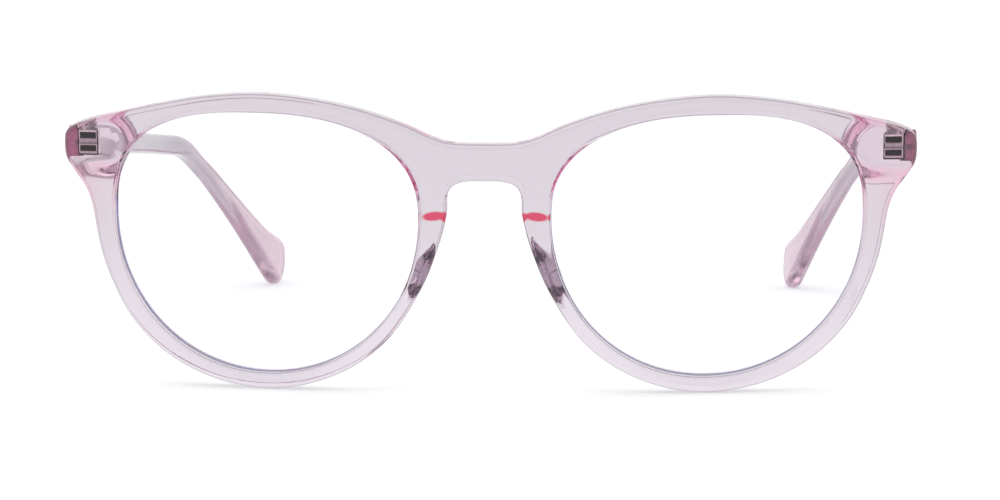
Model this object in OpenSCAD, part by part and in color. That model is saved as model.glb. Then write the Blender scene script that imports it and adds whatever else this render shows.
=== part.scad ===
// Clear acetate spectacles with round-panto lenses, standing open on a level surface.
// +Z is up, the lenses face -Y and the temples run back along +Y.
// X = 0 is the symmetry plane and +X is the wearer's left.
// The origin is on the surface, below the middle of the whole object.

/* [Front] */
// Radius of the front's wrap, seen from above
wrap_r = 238; // [200:2:300]
// Thickness of the rims and the bridge
rim_t = 4; // [3.6:0.1:4.4]
// Forward lean of the front when it stands on a table, in degrees
lean = 3.1; // [2:0.1:4]
// Gap between the two lens openings
bridge_gap = 21.4; // [21:0.1:22]
// Width of a lens opening
lens_w = 50.4; // [50:0.1:50.6]
// Height of a lens opening
lens_h = 42.8; // [42.4:0.1:43]
// Depth of the flat back of the endpieces, behind the front's foremost line
end_back = 15; // [14.5:0.1:16]

/* [Lenses] */
// Thickness of a lens
lens_t = 2; // [1.6:0.1:2.4]
// How far the rim's groove goes into the rim
groove_depth = 0.6; // [0.4:0.05:0.8]
// Width of the groove
groove_w = 1.1; // [0.9:0.05:1.3]

/* [Hinges] */
// Distance of a hinge axis from the symmetry plane
hinge_x = 64.9; // [64.5:0.1:65.2]
// Height of a hinge's middle on the front
hinge_z = 38.9; // [38.7:0.1:39.1]
// Radius of the knuckles
knuckle_r = 1.35; // [1.25:0.01:1.4]
// Height of the three knuckles together
knuckle_h = 4.1; // [3.9:0.1:4.4]
// Radius of the hinge screw's shank
screw_r = 0.6; // [0.5:0.01:0.65]
// Clearance between parts that turn on each other
slip = 0.06; // [0.04:0.01:0.1]

/* [Temples] */
// Thickness of a temple at the hinge
temple_t = 3.4; // [3.2:0.1:3.6]
// Thickness of a temple at its tip
tip_t = 3.4; // [2.6:0.1:3.6]

/* [Hidden] */
$fn = 48;

acetate = [0.93, 0.82, 0.90];
clear = [0.90, 0.95, 0.98];
metal = [0.72, 0.72, 0.74];

tall = 120;                // taller than the front, for the cutting cylinders
far = 80;                  // beyond the front on every side
quarter_steps = 18;        // points on each quarter of a lens outline
spline_steps = 5;          // points between two key points of an outline

// Extremes of a lens opening on the front, seen square on
lens_in = bridge_gap / 2;
lens_out = lens_in + lens_w;
lens_bottom = 2.4;
lens_top = lens_bottom + lens_h;
top_x = lens_in + 0.53 * lens_w;
bottom_x = lens_in + 0.5 * lens_w;
nasal_z = lens_bottom + 0.61 * lens_h;
temporal_z = lens_bottom + 0.6 * lens_h;

// Key points of the left half of the front's outline, from the bridge's top round to its underside
outline_half = [
    [0, 40.7], [5, 40.8], [8.5, 41.7], [13, 43.7], [20, 46], [28, 47.6], [37, 48.3],
    [46, 47.6], [55, 45.85], [63, 43.75], [68, 42.1], [69.5, 41], [69.75, 39.1], [69.5, 36.7],
    [68.3, 34.8], [66.2, 31.9], [65.1, 28.8], [64.5, 25.2], [63.6, 21], [61.9, 16.4],
    [59.2, 11.3], [55.1, 6.7], [50, 3.2], [43.5, 0.7], [36, -0.2], [28.6, 0.8], [21.2, 4],
    [15.2, 9.1], [10.4, 16.6], [7.5, 23.6], [6.1, 29], [6, 32], [5.2, 33.7], [3.2, 34.5], [0, 34.6]
];

// Boss behind the endpiece, which carries the hinge: a flat back and a flank that sweeps down to the rim
boss_x = 62.8;
boss_r = 3.1;
flank_w = 2.8;
flank_foot = 11;
flank_steps = 8;

// Hinge leaf that is sunk into the front
plate_w = 3.5;
plate_t = 0.8;
plate_mid = hinge_x + 0.7;       // the plate reaches outboard of the knuckles
prong_up = 0.25;                 // the prongs stand a little above the plate's middle
prong_w = 3.1;
prong_h = 1.35;
prong_len = 1.2;
prong_step = 2.15;
prong_bevel = 0.17;
axis_y = end_back + knuckle_r + 0.25;
knuckle_each = (knuckle_h - 4 * slip) / 3;
knuckle_step = knuckle_each + slip;

// Hinge leaf that is sunk into the temple
leaf_len = 8.5;
leaf_t = 0.9;
leaf_from = 0.6;

// Temple, in its own frame: [along, up] from the hinge axis
temple_in = knuckle_r + 0.15;
temple_gap = 0.12;               // between the temple's end and the front
top_edge = [
    [-3, 2.3], [12, 2.4], [30, 2.15], [60, 1.85], [82, 1.8], [89, 1.55], [94, 0.4], [100, -2.7],
    [106, -6.1], [112, -9.4], [118, -12.5], [124, -15.2], [129, -16.7], [132.8, -17.7]
];
tip_end = [[134.7, -19.2], [134.5, -21.6], [133.1, -24.3], [131, -26.1], [129, -26.84]];
bottom_edge = [
    [127, -26], [123.4, -23.6], [118, -19.5], [112, -14.8], [106, -10.4], [100, -6.3],
    [95, -3.6], [89.5, -2.2], [82, -1.9], [60, -1.9], [30, -2.2], [12, -2.5], [-3, -2.6]
];
// Lowest and rearmost points of the tip
tip_low = [129.4, -26.81];
tip_back = [134.81, -19.62];
// Middle line of the temple seen along its blade: [along the drop, outboard of the hinge axis]
drop_angle = 35;
plan_line = [
    [-4, 0], [10, 0], [30, -0.2], [60, -1.45], [78, -4.7], [88, -7.85], [98, -10.9], [108, -13.8],
    [118, -16.3], [126, -18]
];

// Nose pads, seen square on: along the rim's nasal edge
pad_steps = 24;
pad_sides = 14;

function power(v, e) = sign(v) * pow(abs(v), e);

// One quarter of a superellipse, without its last point
function quarter(cx, cz, a, b, n, from) = [
    for (i = [0 : quarter_steps - 1])
        let (t = from + 90 * i / quarter_steps)
        [cx + a * power(cos(t), 2 / n), cz + b * power(sin(t), 2 / n)]
];

// Outline of the left lens opening, grown outwards
function lens_outline(grow) = concat(
    quarter(top_x, temporal_z, lens_out + grow - top_x, lens_top + grow - temporal_z, 2.67, 0),
    quarter(top_x, nasal_z, top_x - lens_in + grow, lens_top + grow - nasal_z, 2.37, 90),
    quarter(bottom_x, nasal_z, bottom_x - lens_in + grow, nasal_z - lens_bottom + grow, 2.07, 180),
    quarter(bottom_x, temporal_z, lens_out + grow - bottom_x, temporal_z - lens_bottom + grow, 2.05, 270)
);

// Catmull-Rom curve through open key points
function at(p, i) = p[max(0, min(len(p) - 1, i))];
function spline(p) = [
    for (i = [0 : len(p) - 2])
        for (k = [0 : (i == len(p) - 2 ? spline_steps : spline_steps - 1)])
            let (t = k / spline_steps, a = at(p, i - 1), b = p[i], c = p[i + 1], d = at(p, i + 2))
            0.5 * (2 * b + (c - a) * t + (2 * a - 5 * b + 4 * c - d) * t * t
                + (3 * b - a - 3 * c + d) * t * t * t)
];
function reversed(p) = [for (i = [len(p) - 1 : -1 : 0]) p[i]];
function mirrored(p) = [for (q = p) [-q[0], q[1]]];
// The right half's first and last points lie on the symmetry plane too, and are left out
function inner_part(p) = [for (i = [1 : len(p) - 2]) p[i]];

function front_outline() =
    let (half = spline(concat([[-5, 40.7]], outline_half, [[-3.2, 34.4]])),
         left = [for (i = [spline_steps : len(half) - 1 - spline_steps]) half[i]])
    concat(left, reversed(inner_part(mirrored(left))));

// The front's surface is this far behind its foremost line
function front_at(x, inset = 0) = wrap_r - sqrt(pow(wrap_r - inset, 2) - x * x);

// The rims' lowest points touch the surface, and the temples slope down until their tips do
front_z = -min([for (p = front_outline()) p[1] * cos(lean) + front_at(p[0]) * sin(lean)]);
axis_up = front_z + hinge_z * cos(lean) + axis_y * sin(lean);
axis_back = axis_y * cos(lean) - hinge_z * sin(lean);
slope = asin(axis_up / norm(tip_low)) - atan2(-tip_low[1], tip_low[0]);
// Where the front stands, so that the origin is below the middle of the whole object
fore = -outline_half[0][1] * sin(lean);
aft = axis_back + tip_back[0] * cos(slope) + tip_back[1] * sin(slope);
front_y = -(fore + aft) / 2;

// Frames of reference
module front_frame_of_reference() {
    translate([0, front_y, front_z]) rotate([lean, 0, 0]) children();
}

module temple_frame_of_reference() {
    front_frame_of_reference()
        translate([hinge_x, axis_y, hinge_z]) rotate([-lean - slope, 0, 0]) children();
}

module right_side() {
    mirror([1, 0, 0]) children();
}

// A flat outline on the front, drawn through its whole depth
module through_front(points) {
    translate([0, far, 0]) rotate([90, 0, 0]) linear_extrude(height = 2 * far) polygon(points);
}

// Everything behind the front's outer surface, or behind that surface moved in
module behind(inset) {
    translate([0, wrap_r, -tall / 4]) cylinder(r = wrap_r - inset, h = tall, $fn = 256);
}

module shell(from, to) {
    difference() {
        behind(from);
        behind(to);
    }
}

module groove_ring(grow, width) {
    intersection() {
        through_front(lens_outline(grow));
        shell(rim_t / 2 - width / 2, rim_t / 2 + width / 2);
    }
}

module both_sides() {
    children();
    right_side() children();
}

// From the flank's foot to the edge of the flat back: [distance from the boss's middle, depth]
flank = [
    for (i = [0 : flank_steps])
        let (t = i / flank_steps)
        [boss_r + flank_w * (1 - t), flank_foot + (end_back - flank_foot) * t * t * (3 - 2 * t)]
];

module endpiece_boss() {
    intersection() {
        translate([boss_x, 0, hinge_z]) {
            rotate([-90, 0, 0]) rotate_extrude()
                polygon(concat([[0, 0], [boss_r + flank_w, 0]], flank, [[0, end_back]]));
            rotate([90, 0, 90]) linear_extrude(height = 20)
                polygon(concat(
                    [[0, boss_r + flank_w]], [for (q = flank) [q[1], q[0]]],
                    [for (q = reversed(flank)) [q[1], -q[0]]], [[0, -boss_r - flank_w]]
                ));
        }
        behind(0);
    }
}

// A block with bevelled edges on its front end, which faces -Y; its back is at y = 0
module prong() {
    mid = prong_len - prong_bevel;
    intersection() {
        translate([-prong_w / 2, -prong_len, -prong_h / 2]) cube([prong_w, prong_len, prong_h]);
        translate([0, 0, -prong_h]) linear_extrude(height = 2 * prong_h)
            polygon(prong_side(prong_w / 2, mid));
        translate([prong_w, 0, 0]) rotate([0, -90, 0]) linear_extrude(height = 2 * prong_w)
            polygon(prong_side(prong_h / 2, mid));
    }
}

function prong_side(half, mid) = [
    [-half, 0], [-half, -mid], [prong_bevel - half, -prong_len],
    [half - prong_bevel, -prong_len], [half, -mid], [half, 0]
];

// Body of the front leaf, in the front's frame; the front's pocket is cut with it
module front_leaf_foot() {
    translate([plate_mid - plate_w / 2, end_back - plate_t, hinge_z - knuckle_h / 2])
        cube([plate_w, plate_t, knuckle_h]);
    for (side = [-1, 1])
        translate([plate_mid, end_back - plate_t, hinge_z + prong_up + side * prong_step / 2]) prong();
}

module front_frame() {
    color(acetate) front_frame_of_reference() difference() {
        intersection() {
            through_front(front_outline());
            union() {
                shell(0, rim_t);
                both_sides() endpiece_boss();
            }
        }
        both_sides() through_front(lens_outline(0));
        both_sides() groove_ring(groove_depth, groove_w);
        both_sides() front_leaf_foot();
    }
}

module lens() {
    color(clear) front_frame_of_reference() {
        intersection() {
            through_front(lens_outline(-0.05));
            shell(rim_t / 2 - lens_t / 2, rim_t / 2 + lens_t / 2);
        }
        groove_ring(groove_depth - 0.05, groove_w - 0.1);
    }
}

// A closed skin over rings of points, all with the same number of points
module skin(rings) {
    n = len(rings[0]);
    m = len(rings);
    polyhedron(
        points = [for (r = rings) for (p = r) p],
        faces = concat(
            [[for (i = [0 : n - 1]) i]],
            [for (j = [0 : m - 2]) for (i = [0 : n - 1])
                [j * n + i, (j + 1) * n + i, (j + 1) * n + (i + 1) % n, j * n + (i + 1) % n]],
            [[for (i = [n - 1 : -1 : 0]) (m - 1) * n + i]]
        )
    );
}

// Nasal edge of the left rim, from the pad's upper end to its lower end
pad_path = [[6.95, 25.9], [7.7, 23.4], [8.75, 20.6], [9.9, 18], [11.1, 15.8], [12.4, 13.6]];
pad_depth = 4.6;
pad_width = 2.5;
pad_end = 0.4;
pad_slant = 0.12;

// Share of the pad's full size at a share s of its length: it tapers gently to both ends
function pad_swell(s) = pow(sin(180 * s), 1.1);

function pad_ring(p, s) =
    let (d = max(0.03, pad_swell(s)), depth = pad_depth * d, width = pad_end + (pad_width - pad_end) * sqrt(d))
    [for (k = [0 : pad_sides - 1])
        let (t = 180 * k / (pad_sides - 1),
             x = p[0] + 0.1 + width * (1 - cos(t)) / 2 + pad_slant * depth * sin(t))
        [x, front_at(x, rim_t) + depth * power(sin(t), 0.75), p[1]]];

module nose_pad() {
    line = spline(pad_path);
    count = len(line) - 1;
    color(acetate) front_frame_of_reference()
        skin([for (i = [0 : count]) pad_ring(line[i], i / count)]);
}

module knuckle(index) {
    translate([0, 0, (index - 1) * knuckle_step - knuckle_each / 2])
        cylinder(r = knuckle_r, h = knuckle_each);
}

// A tall hole for the screw, in the temple's frame
module screw_hole(r) {
    translate([0, 0, -knuckle_h]) cylinder(r = r, h = 2 * knuckle_h);
}

module front_hinge_leaf() {
    web_w = 1.9;
    color(metal) {
        front_frame_of_reference() front_leaf_foot();
        intersection() {
            temple_frame_of_reference() difference() {
                for (index = [0, 2]) {
                    knuckle(index);
                    translate([-web_w / 2, -3, (index - 1) * knuckle_step - knuckle_each / 2])
                        cube([web_w, 3, knuckle_each]);
                }
                screw_hole(screw_r + slip);
            }
            front_frame_of_reference() {
                translate([0, end_back, 0]) cube([far, 20, far]);
                // the webs run on into the plate, within its outline
                translate([plate_mid - plate_w / 2, end_back - plate_t / 2, hinge_z - knuckle_h / 2])
                    cube([plate_w, plate_t / 2 + 0.01, knuckle_h]);
            }
        }
    }
}

module hinge_screw() {
    head_r = 1;
    head_h = 0.45;
    top = knuckle_step + knuckle_each / 2;
    color(metal) temple_frame_of_reference() difference() {
        union() {
            translate([0, 0, -top - 0.2]) cylinder(r = screw_r, h = 2 * top + 0.2);
            translate([0, 0, top]) cylinder(r = head_r, h = head_h);
        }
        translate([-0.12, -2, top + head_h - 0.22]) cube([0.24, 4, 1]);
    }
}

module temple_leaf_plate() {
    translate([temple_in, leaf_from, -knuckle_h / 2]) cube([leaf_t, leaf_len, knuckle_h]);
    for (u = [3.4, 7])
        translate([temple_in + leaf_t, leaf_from + u - 0.4, -0.4]) cube([0.5, 0.8, 0.8]);
}

module temple_hinge_leaf() {
    color(metal) temple_frame_of_reference() {
        temple_leaf_plate();
        difference() {
            union() {
                knuckle(1);
                translate([0, 0, -knuckle_each / 2])
                    cube([temple_in + leaf_t / 2, leaf_from + 1.2, knuckle_each]);
            }
            screw_hole(screw_r + slip);
        }
    }
}

function plan_offset(share, side) = temple_in + temple_t / 2 + side * (temple_t + (tip_t - temple_t) * share) / 2;

function plan_side(side) =
    let (line = spline(plan_line), count = len(line) - 1)
    [for (i = [0 : count]) [line[i][1] + plan_offset(i / count, side), line[i][0]]];

module temple() {
    side_view = spline(concat(top_edge, tip_end, bottom_edge));
    plan_view = concat(plan_side(-1), reversed(plan_side(1)));
    color(acetate) temple_frame_of_reference() difference() {
        intersection() {
            translate([-far, 0, 0]) rotate([90, 0, 90]) linear_extrude(height = 2 * far) polygon(side_view);
            rotate([-drop_angle, 0, 0]) translate([0, 0, -far])
                linear_extrude(height = 2 * far) polygon(plan_view);
        }
        rotate([lean + slope, 0, 0])
            translate([-far, end_back + temple_gap - axis_y - far, -far]) cube([2 * far, far, 2 * far]);
        temple_leaf_plate();
        translate([0, 0, -knuckle_h / 2 - 0.1])
            cube([temple_in + leaf_t, leaf_from + 0.1, knuckle_h + 0.2]);
    }
}

front_frame();
lens();  // left_lens
right_side() lens();  // right_lens
nose_pad();  // left_nose_pad
right_side() nose_pad();  // right_nose_pad
front_hinge_leaf();  // left_front_hinge_leaf
right_side() front_hinge_leaf();  // right_front_hinge_leaf
temple_hinge_leaf();  // left_temple_hinge_leaf
right_side() temple_hinge_leaf();  // right_temple_hinge_leaf
hinge_screw();  // left_hinge_screw
right_side() hinge_screw();  // right_hinge_screw
temple();  // left_temple
right_side() temple();  // right_temple
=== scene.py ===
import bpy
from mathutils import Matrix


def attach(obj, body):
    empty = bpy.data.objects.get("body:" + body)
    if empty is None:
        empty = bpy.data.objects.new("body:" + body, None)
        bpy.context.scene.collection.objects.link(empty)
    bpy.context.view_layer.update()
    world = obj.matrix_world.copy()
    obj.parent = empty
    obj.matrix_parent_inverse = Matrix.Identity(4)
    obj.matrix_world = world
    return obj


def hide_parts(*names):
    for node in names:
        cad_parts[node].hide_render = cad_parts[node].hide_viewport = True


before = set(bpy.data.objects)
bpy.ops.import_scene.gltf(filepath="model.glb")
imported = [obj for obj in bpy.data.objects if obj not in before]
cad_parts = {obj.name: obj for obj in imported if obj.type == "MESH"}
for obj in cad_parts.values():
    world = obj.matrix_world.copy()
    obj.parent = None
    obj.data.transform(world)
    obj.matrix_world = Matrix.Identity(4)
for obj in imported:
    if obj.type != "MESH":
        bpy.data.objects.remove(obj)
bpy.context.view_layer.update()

import math
import bmesh
import bpy
import numpy as np
from mathutils import Vector
from mathutils.geometry import delaunay_2d_cdt

MM = 0.001
SUPPORT = 0.08       # mm between a round edge and the first point of the face beside it

# ------------------------------------------------------------------ dimensions, in mm, as the CAD has them
WRAP_R, RIM_T, LEAN = 238.0, 4.0, 3.1
GAP, LENS_W, LENS_H, LENS_BOTTOM = 21.4, 50.4, 42.8, 2.4
LENS_T = 2.0
LENS_IN = (RIM_T - LENS_T) / 2
# walls that are not straight, as (into the material, above the front face)
GROOVE = [(0, 1.4), (0.558, 1.82), (0.6, 2.0), (0.558, 2.18), (0, 2.6)]
TONGUE = [(0, 0.5), (-0.47, 0.86), (-0.54, 1.0), (-0.47, 1.14), (0, 1.5)]
END_BACK, HINGE_X, HINGE_Z, KNUCKLE_R = 15.0, 64.9, 38.9, 1.35
PLATE_W, PLATE_H, PLATE_MID, PLATE_DEPTH = 3.5, 4.1, HINGE_X + 0.7, END_BACK - 0.8
PRONG_END = 13.0     # depth of the ends of the front leaf's prongs
BOSS_X, BOSS_R, FLANK_W = 62.8, 3.1, 2.8
TEMPLE_IN, TEMPLE_T, TIP_T, TEMPLE_GAP = KNUCKLE_R + 0.15, 3.4, 3.4, 0.12
AXIS_Y = END_BACK + KNUCKLE_R + 0.25
CORNER_RUN, CORNER_START, CORNER_R = 6.0, 0.9, 1.5    # the temples' rounded outer corners beside the front
PAD_DEPTH, PAD_WIDTH, PAD_END, PAD_SLANT = 4.6, 2.5, 0.4, 0.12

# left half of the front's outline, as (x, z)
OUTLINE = [
    (0, 40.7), (5, 40.8), (8.5, 41.7), (13, 43.7), (20, 46), (28, 47.6), (37, 48.3),
    (46, 47.6), (55, 45.85), (63, 43.75), (68, 42.1), (69.5, 41), (69.75, 39.1), (69.5, 36.7),
    (68.3, 34.8), (66.2, 31.9), (65.1, 28.8), (64.5, 25.2), (63.6, 21), (61.9, 16.4),
    (59.2, 11.3), (55.1, 6.7), (50, 3.2), (43.5, 0.7), (36, -0.2), (28.6, 0.8), (21.2, 4),
    (15.2, 9.1), (10.4, 16.6), (7.5, 23.6), (6.1, 29), (6, 32), (5.2, 33.7), (3.2, 34.5), (0, 34.6)]
# side view of a temple, as (back, up) from the hinge
TOP_EDGE = [
    (-3, 2.3), (12, 2.4), (30, 2.15), (60, 1.85), (82, 1.8), (89, 1.55), (94, 0.4), (100, -2.7),
    (106, -6.1), (112, -9.4), (118, -12.5), (124, -15.2), (129, -16.7), (132.8, -17.7)]
TIP_END = [(134.7, -19.2), (134.5, -21.6), (133.1, -24.3), (131, -26.1), (129, -26.84)]
BOTTOM_EDGE = [
    (127, -26), (123.4, -23.6), (118, -19.5), (112, -14.8), (106, -10.4), (100, -6.3),
    (95, -3.6), (89.5, -2.2), (82, -1.9), (60, -1.9), (30, -2.2), (12, -2.5), (-3, -2.6)]
TIP_LOW, TIP_BACK = (129.4, -26.81), (134.81, -19.62)
DROP_ANGLE = 35.0
# a temple's middle as seen from above, as (how far along the line its end drops on, outboard)
PLAN_LINE = [
    (-4, 0), (10, 0), (30, -0.2), (60, -1.45), (78, -4.7), (88, -7.85), (98, -10.9), (108, -13.8),
    (118, -16.3), (126, -18)]
# the foot of a pad on the side of the nose, as (x, z)
PAD_PATH = [(6.95, 25.9), (7.7, 23.4), (8.75, 20.6), (9.9, 18), (11.1, 15.8), (12.4, 13.6)]


# ------------------------------------------------------------------ curves
def spline(points, steps=5):
    """Catmull-Rom curve through open key points."""
    p = np.array(points, float)
    out = []
    for i in range(len(p) - 1):
        a, b, c, d = p[max(0, i - 1)], p[i], p[i + 1], p[min(len(p) - 1, i + 2)]
        for k in range(steps + (i == len(p) - 2)):
            t = k / steps
            out.append(0.5 * (2 * b + (c - a) * t + (2 * a - 5 * b + 4 * c - d) * t * t
                              + (3 * b - a - 3 * c + d) * t ** 3))
    return np.array(out)


def lens_loop(grow=0.0, steps=60):
    """Outline of the left lens opening: four quarters of superellipses."""
    x0, x1 = GAP / 2, GAP / 2 + LENS_W
    z0, z1 = LENS_BOTTOM, LENS_BOTTOM + LENS_H
    # the quarters meet at these x, at the top and bottom, and z, beside the nose and outboard
    tx, bx = x0 + 0.53 * LENS_W, x0 + 0.5 * LENS_W
    nz, oz = z0 + 0.61 * LENS_H, z0 + 0.6 * LENS_H
    quarters = [(tx, oz, x1 + grow - tx, z1 + grow - oz, 2.67, 0),
                (tx, nz, tx - x0 + grow, z1 + grow - nz, 2.37, 90),
                (bx, nz, bx - x0 + grow, nz - z0 + grow, 2.07, 180),
                (bx, oz, x1 + grow - bx, oz - z0 + grow, 2.05, 270)]
    out = []
    for cx, cz, a, b, n, start in quarters:
        for i in range(steps):
            t = math.radians(start + 90 * i / steps)
            c, s = math.cos(t), math.sin(t)
            out.append((cx + a * math.copysign(abs(c) ** (2 / n), c),
                        cz + b * math.copysign(abs(s) ** (2 / n), s)))
    return np.array(out)


def half_outline(steps):
    """The front's left half; the two points added past the middle make the curve cross it level."""
    return spline([(-5, 40.7)] + OUTLINE + [(-3.2, 34.4)], steps)[steps:-steps]


def front_loop():
    half = half_outline(16)
    return np.concatenate([half, half[1:-1][::-1] * [-1, 1]])


def lengths(line):
    """How far along a line each of its points is."""
    return np.concatenate([[0], np.cumsum(np.linalg.norm(np.diff(line, axis=0), axis=1))])


def walk(line, s, at):
    """The points at the lengths at, along a line whose own points are at the lengths s."""
    return np.column_stack([np.interp(at, s, line[:, 0]), np.interp(at, s, line[:, 1])])


def resample_open(line, spacing):
    """Even points along an open line, its ends among them."""
    s = lengths(line)
    return walk(line, s, np.linspace(0, s[-1], max(2, int(round(s[-1] / spacing)) + 1)))


def resample(loop, spacing, smooth=0):
    """Even points along a closed loop, running counterclockwise."""
    x, z = loop[:, 0], loop[:, 1]
    if np.sum(x * np.roll(z, -1) - z * np.roll(x, -1)) < 0:
        loop = loop[::-1]
    closed = np.vstack([loop, loop[:1]])
    s = lengths(closed)
    n = max(12, int(round(s[-1] / spacing)))
    out = walk(closed, s, np.arange(n) * s[-1] / n)
    for _ in range(smooth):
        out = 0.25 * np.roll(out, 1, 0) + 0.5 * out + 0.25 * np.roll(out, -1, 0)
    return out


def inward(loop):
    """Unit vectors that point into a counterclockwise loop."""
    t = np.roll(loop, -1, 0) - np.roll(loop, 1, 0)
    t /= np.linalg.norm(t, axis=1)[:, None]
    return np.column_stack([-t[:, 1], t[:, 0]])


def inside(points, loop):
    """Which points lie in a closed loop."""
    out = np.zeros(len(points), bool)
    a, b = loop, np.roll(loop, -1, 0)
    for (x0, z0), (x1, z1) in zip(a, b):
        if z0 == z1:
            continue
        hit = (z0 > points[:, 1]) != (z1 > points[:, 1])
        out ^= hit & (points[:, 0] < x0 + (points[:, 1] - z0) * (x1 - x0) / (z1 - z0))
    return out


def within(points, loops):
    """Which points lie in the first loop and in none of the others."""
    keep = inside(points, loops[0])
    for hole in loops[1:]:
        keep &= ~inside(points, hole)
    return keep


def distance(points, loops, batch=2000):
    """Distance from each point to the nearest point of several loops."""
    every = np.concatenate(loops)
    out = np.empty(len(points))
    for i in range(0, len(points), batch):
        out[i:i + batch] = np.linalg.norm(points[i:i + batch, None] - every[None], axis=2).min(1)
    return out


def lattice(low, high, grid):
    """A triangular lattice of points over a box."""
    step = grid * math.sqrt(3) / 2
    return np.array([(low[0] + grid * (i + 0.5 * (j % 2)), low[1] + step * j)
                     for j in range(int((high[1] - low[1]) / step) + 1)
                     for i in range(int((high[0] - low[0]) / grid) + 1)])


def triangles(loops, points):
    """Triangles over the region within loops, by the numbers of the loops' points and then of points."""
    flat = np.concatenate(loops + [points])
    edges, start = [], 0
    for loop in loops:
        edges += [(start + i, start + (i + 1) % len(loop)) for i in range(len(loop))]
        start += len(loop)
    _, _, found, orig, _, _ = delaunay_2d_cdt([Vector(q) for q in flat.tolist()], edges, [], 0, 1e-7)
    found = [[orig[i][0] for i in t] for t in found]
    keep = within(np.array([flat[t].mean(0) for t in found]), loops)
    return [t for t, ok in zip(found, keep) if ok]


# ------------------------------------------------------------------ frames of reference
def front_at(x, inset=0.0):
    """Depth of the front's cylinder at x, moved in by inset."""
    return WRAP_R - np.sqrt((WRAP_R - inset) ** 2 - x * x)


def turn_x(v, degrees):
    a = math.radians(degrees)
    c, s = math.cos(a), math.sin(a)
    return np.column_stack([v[:, 0], v[:, 1] * c - v[:, 2] * s, v[:, 1] * s + v[:, 2] * c])


COS, SIN = math.cos(math.radians(LEAN)), math.sin(math.radians(LEAN))
# the leaning front stands on the bottoms of its rims
coarse = half_outline(5)
FRONT_Z = -min(coarse[:, 1] * COS + front_at(coarse[:, 0]) * SIN)
# the temples are as steep as brings their tips to the floor from the hinges
AXIS_UP = FRONT_Z + HINGE_Z * COS + AXIS_Y * SIN
AXIS_BACK = AXIS_Y * COS - HINGE_Z * SIN
slope = math.asin(AXIS_UP / math.hypot(*TIP_LOW)) - math.atan2(-TIP_LOW[1], TIP_LOW[0])
SLOPE = math.degrees(slope)
# y = 0 is half way between the foremost and the last point
FORE = -OUTLINE[0][1] * SIN
AFT = AXIS_BACK + TIP_BACK[0] * math.cos(slope) + TIP_BACK[1] * math.sin(slope)
FRONT_Y = -(FORE + AFT) / 2


def on_front(v):
    """From the front's frame: z up the sheet, y through it."""
    return turn_x(v, LEAN) + [0, FRONT_Y, FRONT_Z]


def on_temple(v):
    """From the left temple's frame: x outboard of the hinge axis, y along the temple, z up."""
    return on_front(turn_x(v, -LEAN - SLOPE) + [HINGE_X, AXIS_Y, HINGE_Z])


# ------------------------------------------------------------------ meshes
def make(name, verts, faces, side=1):
    """An object from vertices in mm; side -1 mirrors it."""
    v = np.array(verts, float) * [side, 1, 1] * MM
    mesh = bpy.data.meshes.new(name)
    mesh.from_pydata(v.tolist(), [], faces)
    bm = bmesh.new()
    bm.from_mesh(mesh)
    bmesh.ops.recalc_face_normals(bm, faces=bm.faces)
    bm.to_mesh(mesh)
    bm.free()
    mesh.shade_smooth()
    obj = bpy.data.objects.new(name, mesh)
    bpy.context.scene.collection.objects.link(obj)
    return obj


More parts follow.
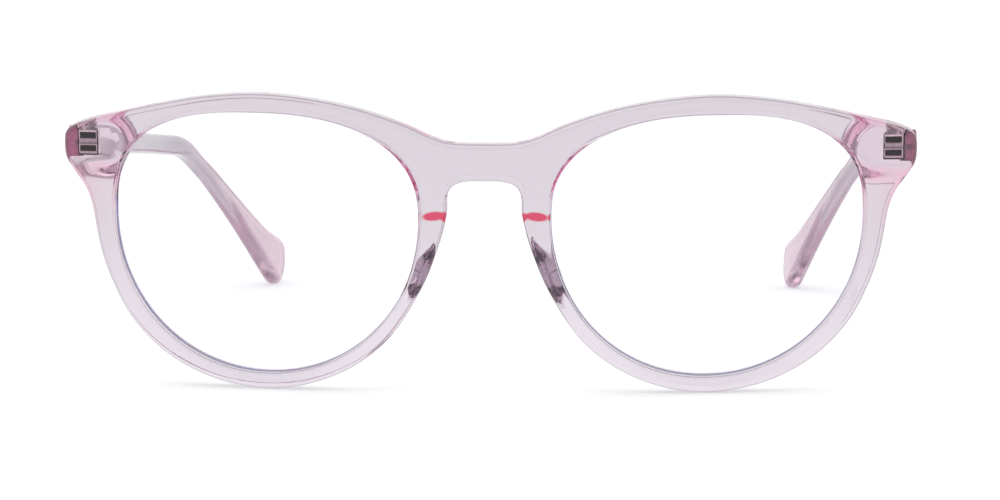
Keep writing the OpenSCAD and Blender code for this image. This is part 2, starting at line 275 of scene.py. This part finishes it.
def plate(loops, low, high, round_low, round_high, profiles=None, crown=0.0, crown_w=2.0, grid=0.9,
          extra_high=None, walls=3, steps=6):
    """A closed skin between two height surfaces over a flat region with round edges.
    loops: the outline and then the holes; round_low, round_high: edge radii, per loop a number or one per
    point; profiles: per loop None, or (into the material, above low) points down the wall; crown, crown_w:
    how far the low face falls at its edges, and over what width; grid: spacing of the points on the faces;
    extra_high: more points for the high face; walls, steps: rows down a straight wall and round an edge."""
    verts, faces = [], []
    into = [inward(l) * (1 if k == 0 else -1) for k, l in enumerate(loops)]
    rl = [np.broadcast_to(r, len(l)).astype(float) for r, l in zip(round_low, loops)]
    rh = [np.broadcast_to(r, len(l)).astype(float) for r, l in zip(round_high, loops)]

    def fall(s):
        return crown * np.clip(1 - s / crown_w, 0, 1) ** 2

    def add(p, y):
        first = len(verts)
        verts.extend(np.column_stack([p[:, 0], y, p[:, 1]]).tolist())
        return list(range(first, first + len(p)))

    phis = [0.5 * math.pi * j / steps for j in range(steps + 1)]
    # the loops, and the numbers of their vertices, from which the low (False) and high (True) faces start
    starts, known = {False: [], True: []}, {False: [], True: []}
    for k, loop in enumerate(loops):
        p = loop + into[k] * (rl[k] + SUPPORT)[:, None]
        rows = [add(p, low(p) + fall(rl[k] + SUPPORT))]
        starts[False].append(p)
        for phi in phis:
            s = rl[k] * (1 - math.sin(phi))
            p = loop + into[k] * s[:, None]
            rows.append(add(p, low(p) + fall(s) + rl[k] * (1 - math.cos(phi))))
        y0 = low(loop) + fall(0) + rl[k]
        y1 = high(loop) - rh[k]
        if profiles and profiles[k]:
            for s, above in profiles[k]:
                rows.append(add(loop + into[k] * s, low(loop) + above))
        else:
            for j in range(1, walls):
                rows.append(add(loop, y0 + (y1 - y0) * j / walls))
        for phi in phis[::-1]:
            s = rh[k] * (1 - math.sin(phi))
            p = loop + into[k] * s[:, None]
            rows.append(add(p, high(p) - rh[k] * (1 - math.cos(phi))))
        p = loop + into[k] * (rh[k] + SUPPORT)[:, None]
        rows.append(add(p, high(p)))
        starts[True].append(p)
        known[False] += rows[0]
        known[True] += rows[-1]
        n = len(loop)
        for a, b in zip(rows, rows[1:]):
            faces.extend([a[i], a[(i + 1) % n], b[(i + 1) % n], b[i]] for i in range(n))

    field = lattice(loops[0].min(0), loops[0].max(0), grid)
    for upper in (False, True):
        points = field
        if upper and extra_high is not None:
            points = np.concatenate([points[distance(points, [extra_high]) > 0.55 * grid], extra_high])
        points = points[within(points, starts[upper])]
        points = points[distance(points, starts[upper]) > 0.35 * min(grid, 0.9)]
        known[upper] += add(points, high(points) if upper else low(points) + fall(distance(points, loops)))
        faces.extend([known[upper][i] for i in t] for t in triangles(starts[upper], points))
    return np.array(verts), faces


def smoothstep(t):
    t = np.clip(t, 0, 1)
    return t * t * (3 - 2 * t)


# ------------------------------------------------------------------ the front
def boss_depth(p):
    """How far inside the flank's foot, round the boss behind an endpiece, a point is."""
    x, z = np.abs(p[:, 0]) - BOSS_X, p[:, 1] - HINGE_Z
    return BOSS_R + FLANK_W - np.hypot(np.minimum(x, 0), z)


def front_back(p):
    """The back of the rims, with the flat bosses that carry the hinges, ending just short of the leaves."""
    rim = front_at(p[:, 0], RIM_T)
    return rim + smoothstep(boss_depth(p) / FLANK_W) * (END_BACK - 0.02 - rim)


def boss_lines(reach=6, spacing=0.4, lines=8):
    """Points along the bosses' flanks, from the foot to the flat back, in lines round the boss."""
    out = []
    for inward_by in np.arange(-1, lines + 1) * FLANK_W / lines:
        r = BOSS_R + FLANK_W - inward_by
        out += [(BOSS_X + u, HINGE_Z + r) for u in np.arange(reach, 0, -spacing)]
        out += [(BOSS_X - r * math.sin(a), HINGE_Z + r * math.cos(a))
                for a in np.arange(0, math.pi, spacing / r)]
        out += [(BOSS_X + u, HINGE_Z - r) for u in np.arange(0, reach, spacing)]
    out = np.array(out)
    return np.concatenate([out, out * [-1, 1]])


def build_front():
    outer = resample(front_loop(), 0.42, smooth=2)
    left = resample(lens_loop(), 0.4)
    right = resample(lens_loop() * [-1, 1], 0.4)
    # the back edge is sharper beside the pads and at the endpieces, and rounder under the bridge
    away, height = np.abs(outer[:, 0]), outer[:, 1]
    nasal = smoothstep((16 - away) / 2) * smoothstep((height - 7) / 2) * smoothstep((30 - height) / 2)
    bridge = smoothstep((9 - away) / 3) * smoothstep((height - 30) / 2)
    back = 0.75 - 0.6 * nasal + 0.25 * bridge - 0.45 * smoothstep((away - 63) / 2)
    v, f = plate([outer, left, right], lambda p: front_at(p[:, 0]), front_back,
                 [0.85, 0.4, 0.4], [back, 0.35, 0.35], [None, GROOVE, GROOVE],
                 crown=0.16, crown_w=1.9, extra_high=boss_lines())
    obj = make("front_acetate", on_front(v), f)
    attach(obj, "front")
    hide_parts("front_frame")
    return obj


def build_lens(side, name):
    loop = resample(lens_loop(-0.05), 0.4)
    v, f = plate([loop], lambda p: front_at(p[:, 0], LENS_IN),
                 lambda p: front_at(p[:, 0], LENS_IN + LENS_T),
                 [0.12], [0.12], [TONGUE], grid=1.6, steps=2)
    obj = make(name + "_lens_clear", on_front(v), f, side)
    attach(obj, "front")
    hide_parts(name + "_lens")
    return obj


def build_pad(side, name, steps=60, per=34):
    """A spindle along the pad's path: rings of per points, closer together towards the pointed ends."""
    line = spline(PAD_PATH, 30)
    count = len(line) - 1
    rings = []
    for k in range(steps + 1):
        s = 0.5 * (1 - math.cos(math.pi * k / steps))
        i = min(count - 1, int(s * count))
        p = line[i] + (line[i + 1] - line[i]) * (s * count - i)
        swell = max(0.03, abs(math.sin(math.pi * s)) ** 1.7)
        depth, width = PAD_DEPTH * swell, PAD_END + (PAD_WIDTH - PAD_END) * swell
        t = math.pi * np.arange(per) / (per - 1)
        up = np.maximum(np.sin(t), 0)
        x = p[0] + 0.1 + width * (1 - np.cos(t)) / 2 + PAD_SLANT * depth * up
        y = front_at(x, RIM_T) + depth * up ** 0.75 - 0.03 * (1 - up)
        rings.append(np.column_stack([x, y, np.full(per, p[1])]))
    v = np.concatenate(rings)
    f = [[j * per + i, (j + 1) * per + i, (j + 1) * per + (i + 1) % per, j * per + (i + 1) % per]
         for j in range(steps) for i in range(per)]
    f += [list(range(per)), list(range(steps * per, (steps + 1) * per))]
    obj = make(name + "_pad_acetate", on_front(v), f, side)
    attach(obj, "front")
    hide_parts(name + "_nose_pad")
    return obj


# ------------------------------------------------------------------ the temples
def plan(p, side):
    """Distance outboard of the hinge axis of a temple's inner (-1) or outer (1) face."""
    drop = math.radians(DROP_ANGLE)
    u = p[:, 0] * math.cos(drop) - p[:, 1] * math.sin(drop)
    line = spline(PLAN_LINE, 20)
    share = np.linspace(0, 1, len(line))
    off = TEMPLE_IN + TEMPLE_T / 2 + side * (TEMPLE_T + (TIP_T - TEMPLE_T) * share) / 2
    return np.interp(u, line[:, 0], line[:, 1] + off)


def temple_loop():
    """Side view of a temple, cut off where it meets the front."""
    edge = spline(TOP_EDGE + TIP_END + BOTTOM_EDGE, 12)
    tilt = math.radians(LEAN + SLOPE)
    over = edge @ [math.cos(tilt), math.sin(tilt)] - (END_BACK + TEMPLE_GAP + 0.01 - AXIS_Y)
    keep = np.flatnonzero(over > 0)
    a, b = keep[0], keep[-1]
    top = edge[a - 1] + (edge[a] - edge[a - 1]) * over[a - 1] / (over[a - 1] - over[a])
    bottom = edge[b] + (edge[b + 1] - edge[b]) * over[b] / (over[b] - over[b + 1])
    body = resample_open(np.vstack([top, edge[keep], bottom]), 0.5)
    cut = resample_open(np.vstack([bottom, top]), 0.5)[1:-1]
    return np.vstack([body, cut])[::-1], top


def build_temple(side, name):
    loop, top = temple_loop()
    # nearly square where it meets the front, roundest at the tip
    radius = 0.14 + 1.06 * smoothstep((loop[:, 0] - top[0] - 0.2) / 3.5)
    radius += 0.3 * smoothstep((loop[:, 0] - 110) / 20)
    v, f = plate([loop], lambda p: plan(p, -1) + 0.02, lambda p: plan(p, 1), [radius], [radius], grid=0.8)
    # the plate's x is the way along, its y the way outboard
    v = np.column_stack([v[:, 1], v[:, 0], v[:, 2]])
    # near the front the outer face is held in at the corners; further back the limit is out of reach
    near = np.clip(1 - (v[:, 1] - top[0]) / CORNER_RUN, 0, 1)
    into_corner = np.clip((np.abs(v[:, 2]) - CORNER_START) / CORNER_R, 0, 1)
    limit = TEMPLE_IN + TEMPLE_T - CORNER_R * (1 - np.sqrt(1 - 0.96 * into_corner ** 2)) * near
    v[:, 0] = np.minimum(v[:, 0], limit + (1 - near) * 5)
    obj = make(name + "_temple_acetate", on_temple(v), f, side)
    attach(obj, name + "_arm")
    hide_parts(name + "_temple")
    return obj


# ------------------------------------------------------------------ materials
TINT = (0.86, 0.2, 0.54)      # of the acetate's depth
# the ways through the front, from its face to its back, and up along it; where it starts along both, in mm
THROUGH, UP = (0, COS, SIN), (0, -SIN, COS)
FACE, LEVEL = FRONT_Y * COS + FRONT_Z * SIN, FRONT_Z * COS - FRONT_Y * SIN

# painted light: the lighter tone at the foot of the rims, against the shade of the floor seen through them
FOOT_PAINTED_LIGHT = (0.74, 0.735, 0.775)
# painted internal reflection: pinker endpiece walls, and a pinker painted edge shade there
ENDPIECE_PAINTED_REFLECTION, ENDPIECE_PAINTED_EDGE_SHADE = (0.73, 0.52, 0.61), (0.6, 0.27, 0.4)
# painted internal reflection: pinker walls at the upper nasal corners of the openings, and a pinker painted
# edge shade there
CORNER_PAINTED_REFLECTION, CORNER_PAINTED_EDGE_SHADE = (0.62, 0.13, 0.3), (0.55, 0.12, 0.27)
# painted internal reflection: the deep red streak above each pad
FLASH_PAINTED_REFLECTION = (0.6, 0.003, 0.02)
# along the temples, as (y in mm, colour, added roughness)
TEMPLE_TONES = [(-58, (0.8, 0.68, 0.75), 0.0), (-45, (0.43, 0.385, 0.42), 0.06),
                (28, (0.38, 0.34, 0.37), 0.12), (50, (0.6, 0.49, 0.53), 0.15),
                (74, (0.66, 0.46, 0.53), 0.13)]


def mm(*lengths):
    return [length * MM for length in lengths]


class Graph:
    """The nodes of a material or world, with short ways to add to them.
    Every value may be a constant or another node's output."""

    def __init__(self, tree):
        self.nodes, self.links = tree.nodes, tree.links

    def feed(self, socket, value):
        if isinstance(value, bpy.types.NodeSocket):
            self.links.new(value, socket)
        else:
            socket.default_value = value

    def add(self, kind, **values):
        """A node with its inputs and settings."""
        n = self.nodes.new("ShaderNode" + kind)
        for key, value in values.items():
            if key in n.inputs:
                self.feed(n.inputs[key], value)
            else:
                setattr(n, key, value)
        return n

    def noise(self, vector, scale, detail, roughness):
        return self.add("TexNoise", Vector=vector, Scale=scale, Detail=detail,
                        Roughness=roughness).outputs["Fac"]

    def maths(self, operation, *values):
        n = self.add("Math", operation=operation)
        for socket, value in zip(n.inputs, values):
            self.feed(socket, value)
        return n.outputs["Value"]

    def times(self, product, *others):
        for value in others:
            product = self.maths("MULTIPLY", product, value)
        return product

    def along(self, vector, axis):
        """How far a vector reaches along an axis."""
        n = self.add("VectorMath", operation="DOT_PRODUCT")
        self.feed(n.inputs[0], vector)
        self.feed(n.inputs[1], axis)
        return n.outputs["Value"]

    def scale(self, value, low, high, a=0.0, b=1.0, kind="LINEAR"):
        """From a, where value is low, to b, where it is high."""
        n = self.add("MapRange", interpolation_type=kind, Value=value)
        for key, number in (("From Min", low), ("From Max", high), ("To Min", a), ("To Max", b)):
            n.inputs[key].default_value = number
        return n.outputs["Result"]

    def ease(self, value, low, high, a=0.0, b=1.0):
        """The same in a smooth step."""
        return self.scale(value, low, high, a, b, "SMOOTHSTEP")

    def blend(self, share, first, second):
        """A colour between two."""
        n = self.add("Mix", data_type="RGBA", Factor=share)
        for socket, value in ((n.inputs[6], first), (n.inputs[7], second)):
            self.feed(socket, (*value, 1) if isinstance(value, tuple) else value)
        return n.outputs[2]


def material(name):
    """A new material, its graph, its shader and its output."""
    m = bpy.data.materials.new(name)
    m.use_nodes = True
    g = Graph(m.node_tree)
    return m, g, g.nodes["Principled BSDF"], g.nodes["Material Output"]


def temple_tones(g, y, rough):
    """Greyer and duller along the straight part of the temples, pinker at both ends."""
    first, last = TEMPLE_TONES[0][0], TEMPLE_TONES[-1][0]
    ramp = g.add("ValToRGB", Fac=g.scale(y, first * MM, last * MM))
    stops = ramp.color_ramp.elements
    while len(stops) < len(TEMPLE_TONES):
        stops.new(0.5)
    for stop, (at, tone, dull) in zip(stops, TEMPLE_TONES):
        stop.position = (at - first) / (last - first)
        stop.color = (*tone, dull)
    return ramp.outputs["Color"], g.maths("ADD", rough, ramp.outputs["Alpha"])


def pad_tones(g, height, base, core):
    """Deeper in colour round the middle height of the pads, 20 mm up."""
    from_middle = g.maths("ABSOLUTE", g.maths("SUBTRACT", height, 20 * MM))
    return g.blend(g.ease(from_middle, *mm(2, 5.5)), core, base)


def front_tones(g, base, edge, rough, away, height, square):
    """Painted light lightens the foot of the rims, against the shade of the floor seen through them;
    painted internal reflection makes the cut edges pinker at the endpieces, where the walls are duller too,
    and at the upper nasal corners of the openings, where it tints the painted edge shade as well."""
    cut = g.ease(square, 0.9, 0.99, 1.0, 0.0)
    colour = g.blend(g.ease(height, *mm(8, 28)), FOOT_PAINTED_LIGHT, base)
    # painted light: lighter towards the foot of the rims
    endpiece = g.times(g.ease(away, *mm(57, 63)), g.ease(height, *mm(24, 34)))
    # painted internal reflection at the endpieces
    colour = g.blend(g.times(endpiece, cut), colour, ENDPIECE_PAINTED_REFLECTION)
    edge = g.blend(endpiece, edge, ENDPIECE_PAINTED_EDGE_SHADE)
    # painted internal reflection at the upper nasal corners of the openings
    corner = g.times(g.ease(away, *mm(9.5, 11.5)), g.ease(away, *mm(15, 19), 1.0, 0.0),
                     g.ease(height, *mm(31, 34)), g.ease(height, *mm(38.5, 41.2), 1.0, 0.0))
    colour = g.blend(g.times(corner, cut), colour, CORNER_PAINTED_REFLECTION)
    edge = g.blend(corner, edge, CORNER_PAINTED_EDGE_SHADE)
    dulled = g.times(endpiece, g.ease(square, 0.1, 0.4, 0.2, 0.0))
    return colour, edge, g.maths("ADD", rough, dulled)


def pad_streak_painted_reflection(g, colour, place, away, height, square):
    """Painted internal reflection: a short streak of deep red above each pad, on the back of the front."""
    flat = g.add("CombineXYZ", X=away, Z=height)
    local = g.add("Mapping", vector_type="TEXTURE", Vector=flat.outputs["Vector"],
                  Location=mm(8.3, 0, FRONT_Z + 28.75), Rotation=(0, 0.12, 0),
                  Scale=(1.9 * MM, 1, 0.8 * MM))
    reach = g.add("VectorMath", operation="LENGTH", Vector=local.outputs["Vector"])
    behind = g.maths("GREATER_THAN", g.along(place, THROUGH), (FACE + RIM_T / 2) * MM)
    streak = g.times(behind, g.ease(square, 0.25, 0.5),
                     g.ease(reach.outputs["Value"], 0.75, 1.15, 1.0, 0.0))
    return g.blend(streak, colour, FLASH_PAINTED_REFLECTION)


def acetate(name, density, base, edge, axis, seed, core=None, front=False):
    """Polished clear acetate: tinted in its depth, with faint waves from polishing and hairline scratches.
    base: colour of its surface, or None for the tones of the temples; edge: colour of the painted shade on
    the round edges, a dark outline standing in for the dark surroundings they reflect; axis: the way
    through the sheet;
    core: the pads' deeper colour; front: with the tones of the front, which hold painted light and painted
    internal reflection."""
    m, g, shader, out = material(name)
    shader.inputs["Transmission Weight"].default_value = 1.0
    shader.inputs["IOR"].default_value = 1.48
    where = g.add("TexCoord")
    place, normal = where.outputs["Object"], where.outputs["Normal"]
    split = g.add("SeparateXYZ", Vector=place)
    away, height = g.maths("ABSOLUTE", split.outputs["X"]), split.outputs["Z"]
    # 1 on the faces of the sheet, 0 on its walls, between them on its rounded edges
    square = g.maths("ABSOLUTE", g.along(normal, axis))

    shift = g.add("Mapping", Vector=place, Location=(seed, 2 * seed, 3 * seed)).outputs["Vector"]
    drawn_out = g.add("Mapping", Vector=shift, Scale=(0.12, 0.12, 1.6)).outputs["Vector"]
    waves, haze = g.noise(shift, 130.0, 2.0, 0.4), g.noise(shift, 260.0, 3.0, 0.5)
    hair = g.noise(drawn_out, 900.0, 6.0, 0.65)
    rough = g.scale(haze, 0.35, 0.7, 0.012, 0.06)

    colour = base
    if base is None:
        colour, rough = temple_tones(g, split.outputs["Y"], rough)
    if core:
        colour = pad_tones(g, height, base, core)
    if front:
        colour, edge, rough = front_tones(g, base, edge, rough, away, height, square)
    # painted shade: the round edges take the dark edge colour
    painted_edge_shade = g.times(g.ease(square, 0.1, 0.4), g.ease(square, 0.5, 0.78, 1.0, 0.0))
    colour = g.blend(painted_edge_shade, colour, edge)
    # painted internal reflection: a deep red streak above each pad
    if front:
        colour = pad_streak_painted_reflection(g, colour, place, away, height, square)
    g.feed(shader.inputs["Base Color"], colour)
    g.feed(shader.inputs["Roughness"], rough)

    soft = g.add("Bump", Strength=0.1, Distance=0.00012, Height=waves)
    fine = g.add("Bump", Strength=0.08, Distance=0.00001, Height=hair, Normal=soft.outputs["Normal"])
    g.feed(shader.inputs["Normal"], fine.outputs["Normal"])
    depth = g.add("VolumeAbsorption", Color=(*TINT, 1), Density=density)
    g.feed(out.inputs["Volume"], depth.outputs["Volume"])
    return m


def lens_material():
    """Clear coated lens: what is behind shows through it as it is, under a faint blue-violet reflection."""
    m, g, shader, out = material("lens_coated")
    g.nodes.remove(shader)
    dust = g.noise(g.add("TexCoord").outputs["Object"], 420.0, 4.0, 0.6)
    clear = g.add("BsdfTransparent", Color=(0.985, 0.985, 0.99, 1))
    coat = g.add("BsdfGlossy", Color=(0.6, 0.66, 1.0, 1), Roughness=g.ease(dust, 0.4, 0.75, 0.0, 0.03))
    # Schlick's rule: 2.5 percent straight on, rising steeply at a glance
    facing = g.add("LayerWeight", Blend=0.5).outputs["Facing"]
    mirror = g.maths("MULTIPLY_ADD", g.maths("POWER", facing, 5.0), 0.9, 0.025)
    both = g.add("MixShader", Fac=mirror)
    g.feed(both.inputs[1], clear.outputs["BSDF"])
    g.feed(both.inputs[2], coat.outputs["BSDF"])
    g.feed(out.inputs["Surface"], both.outputs["Shader"])
    depth = g.add("VolumeAbsorption", Color=(0.6, 0.75, 1.0, 1), Density=4.0)
    g.feed(out.inputs["Volume"], depth.outputs["Volume"])
    return m


def seated_edge():
    """The lens's edge where it is seated in the rim: the rim shows through it undisturbed."""
    m, g, shader, out = material("lens_seated_edge")
    g.nodes.remove(shader)
    clear = g.add("BsdfTransparent", Color=(0.94, 0.93, 0.95, 1))
    g.feed(out.inputs["Surface"], clear.outputs["BSDF"])
    return m


def painted_shade_where_embedded(g, where):
    """Mask of the painted shade: 1 on the forward faces of the prongs' ends and of the rim of the front
    leaf's plate, which are embedded in the acetate.
    """
    place, rim_w, slack = where.outputs["Object"], 0.22, 0.1
    depth = g.along(place, THROUGH)
    forward = g.maths("LESS_THAN", g.along(where.outputs["Normal"], THROUGH), -0.97)
    ends = g.maths("LESS_THAN", depth, (FACE + PRONG_END + slack) * MM)
    away = g.maths("ABSOLUTE", g.add("SeparateXYZ", Vector=place).outputs["X"])
    across = g.maths("ABSOLUTE", g.maths("SUBTRACT", away, PLATE_MID * MM))
    up = g.maths("ABSOLUTE", g.maths("SUBTRACT", g.along(place, UP), (LEVEL + HINGE_Z) * MM))
    border = g.maths("MAXIMUM", g.maths("GREATER_THAN", across, (PLATE_W / 2 - rim_w) * MM),
                     g.maths("GREATER_THAN", up, (PLATE_H / 2 - rim_w) * MM))
    rim = g.times(border, g.maths("LESS_THAN", depth, (FACE + PLATE_DEPTH + slack) * MM))
    return g.times(forward, g.maths("MAXIMUM", ends, rim))


def metal(name, colour, low, high, painted_shade=None):
    """Plated nickel silver or steel: turned marks across the height and small blotches.
    low, high: its roughness; the last argument: colour of the painted shade on the forward faces embedded
    in the acetate, standing in for the shade of their recesses."""
    m, g, shader, _ = material(name)
    shader.inputs["Metallic"].default_value = 1.0
    where = g.add("TexCoord")
    place = where.outputs["Object"]
    squeezed = g.add("Mapping", Vector=place, Scale=(0.2, 0.2, 2.0)).outputs["Vector"]
    marks, blots = g.noise(squeezed, 9000.0, 3.0, 0.6), g.noise(place, 1400.0, 3.0, 0.55)
    tone = g.blend(g.scale(blots, 0.35, 0.65), tuple(0.8 * c for c in colour), colour)
    if painted_shade:
        tone = g.blend(painted_shade_where_embedded(g, where), tone, painted_shade)
    g.feed(shader.inputs["Base Color"], tone)
    g.feed(shader.inputs["Roughness"], g.scale(marks, 0.0, 1.0, low, high))
    bump = g.add("Bump", Strength=0.25, Distance=0.000006, Height=marks)
    g.feed(shader.inputs["Normal"], bump.outputs["Normal"])
    return m


# ------------------------------------------------------------------ the object
front = build_front()
lenses = [build_lens(1, "left"), build_lens(-1, "right")]
pads = [build_pad(1, "left"), build_pad(-1, "right")]
temples = [build_temple(1, "left"), build_temple(-1, "right")]

# the second colour of each acetate is the painted shade of its round edges
front_look = acetate("acetate_front", 30.0, (0.655, 0.647, 0.68), (0.29, 0.265, 0.3), THROUGH, 0.0,
                     front=True)
temple_look = acetate("acetate_temple", 11.0, None, (0.42, 0.37, 0.41), (1, 0, 0), 0.3)
pad_look = acetate("acetate_pad", 22.0, (0.93, 0.9, 0.93), (0.55, 0.48, 0.54), THROUGH, 0.6,
                   core=(0.48, 0.4, 0.47))
lens_look, edge_look = lens_material(), seated_edge()
for objects, look in (([front], front_look), (temples, temple_look), (pads, pad_look),
                      (lenses, lens_look), (lenses, edge_look)):
    for obj in objects:
        obj.data.materials.append(look)
for obj in lenses:
    for face in obj.data.polygons:
        x, y, z = face.center / MM
        depth = (y - FRONT_Y) * COS + (z - FRONT_Z) * SIN - front_at(x)
        face.material_index = int(LENS_IN + 0.1 < depth < LENS_IN + LENS_T - 0.1)

leaf_look = metal("nickel_silver", (0.86, 0.84, 0.82), 0.14, 0.34)
# painted shade: near-black on the front leaves' forward faces embedded in the acetate, standing in for the
# shade of their recesses
painted_shade_leaf_look = metal("nickel_silver_painted_shade", (0.95, 0.93, 0.92), 0.36, 0.5, (0.02, 0.012, 0.014))
screw_look = metal("steel_screw", (0.62, 0.62, 0.63), 0.2, 0.4)
for name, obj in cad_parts.items():
    if "hinge" in name:
        look = screw_look if "screw" in name else painted_shade_leaf_look if "front" in name else leaf_look
        obj.data.materials.clear()
        obj.data.materials.append(look)

# ------------------------------------------------------------------ floor, light and camera
scene = bpy.context.scene
floor_mesh = bpy.data.meshes.new("floor")
floor_mesh.from_pydata([(-3, -3, 0), (3, -3, 0), (3, 3, 0), (-3, 3, 0)], [], [(0, 1, 2, 3)])
floor = bpy.data.objects.new("floor", floor_mesh)
scene.collection.objects.link(floor)
floor_look, _, shader, _ = material("floor_white")
for key, value in (("Base Color", (0.62, 0.62, 0.62, 1)), ("Emission Color", (1, 1, 1, 1)),
                   ("Emission Strength", 0.45), ("Roughness", 0.9), ("Specular IOR Level", 0.1)):
    shader.inputs[key].default_value = value
floor.data.materials.append(floor_look)

# an even white tent, dimmer low down in front, where the photographer would stand
world = bpy.data.worlds.new("studio")
scene.world = world
world.use_nodes = True
g = Graph(world.node_tree)
tent = g.nodes["Background"]
tent.inputs["Color"].default_value = (1, 1, 1, 1)
towards_front = g.along(g.add("TexCoord").outputs["Generated"], (0, -1, 0))
g.feed(tent.inputs["Strength"], g.ease(towards_front, 0.3, 0.8, 1.15, 0.1))

softbox = bpy.data.lights.new("key", "AREA")
softbox.shape = "RECTANGLE"
softbox.size, softbox.size_y = 0.7, 0.5
softbox.energy = 1.0
key_light = bpy.data.objects.new("key", softbox)
key_light.location = (-0.25, -0.15, 0.75)
key_light.rotation_euler = (Vector((0, 0, 0.02)) - key_light.location).to_track_quat("-Z", "Y").to_euler()
scene.collection.objects.link(key_light)

# the photograph's viewing angle: from a little to the wearer's left and a little above
AZIMUTH, ELEVATION, DISTANCE = math.radians(3.6), math.radians(6.69), 0.6501
target = Vector((0.002515, FRONT_Y * MM, 0.02346))
back = Vector((math.sin(AZIMUTH) * math.cos(ELEVATION), -math.cos(AZIMUTH) * math.cos(ELEVATION),
               math.sin(ELEVATION)))
camera_data = bpy.data.cameras.new("camera")
camera_data.sensor_width = 36
camera_data.lens = 144.93
camera_data.clip_start = 0.01
camera = bpy.data.objects.new("camera", camera_data)
camera.location = target + back * DISTANCE
camera.rotation_euler = (-back).to_track_quat("-Z", "Y").to_euler()
scene.collection.objects.link(camera)
scene.camera = camera
scene.view_settings.view_transform = "Standard"
# light runs a long way inside clear acetate before it leaves
bounces = scene.cycles
bounces.max_bounces, bounces.transmission_bounces, bounces.glossy_bounces = 40, 40, 40

bpy.context.view_layer.update()
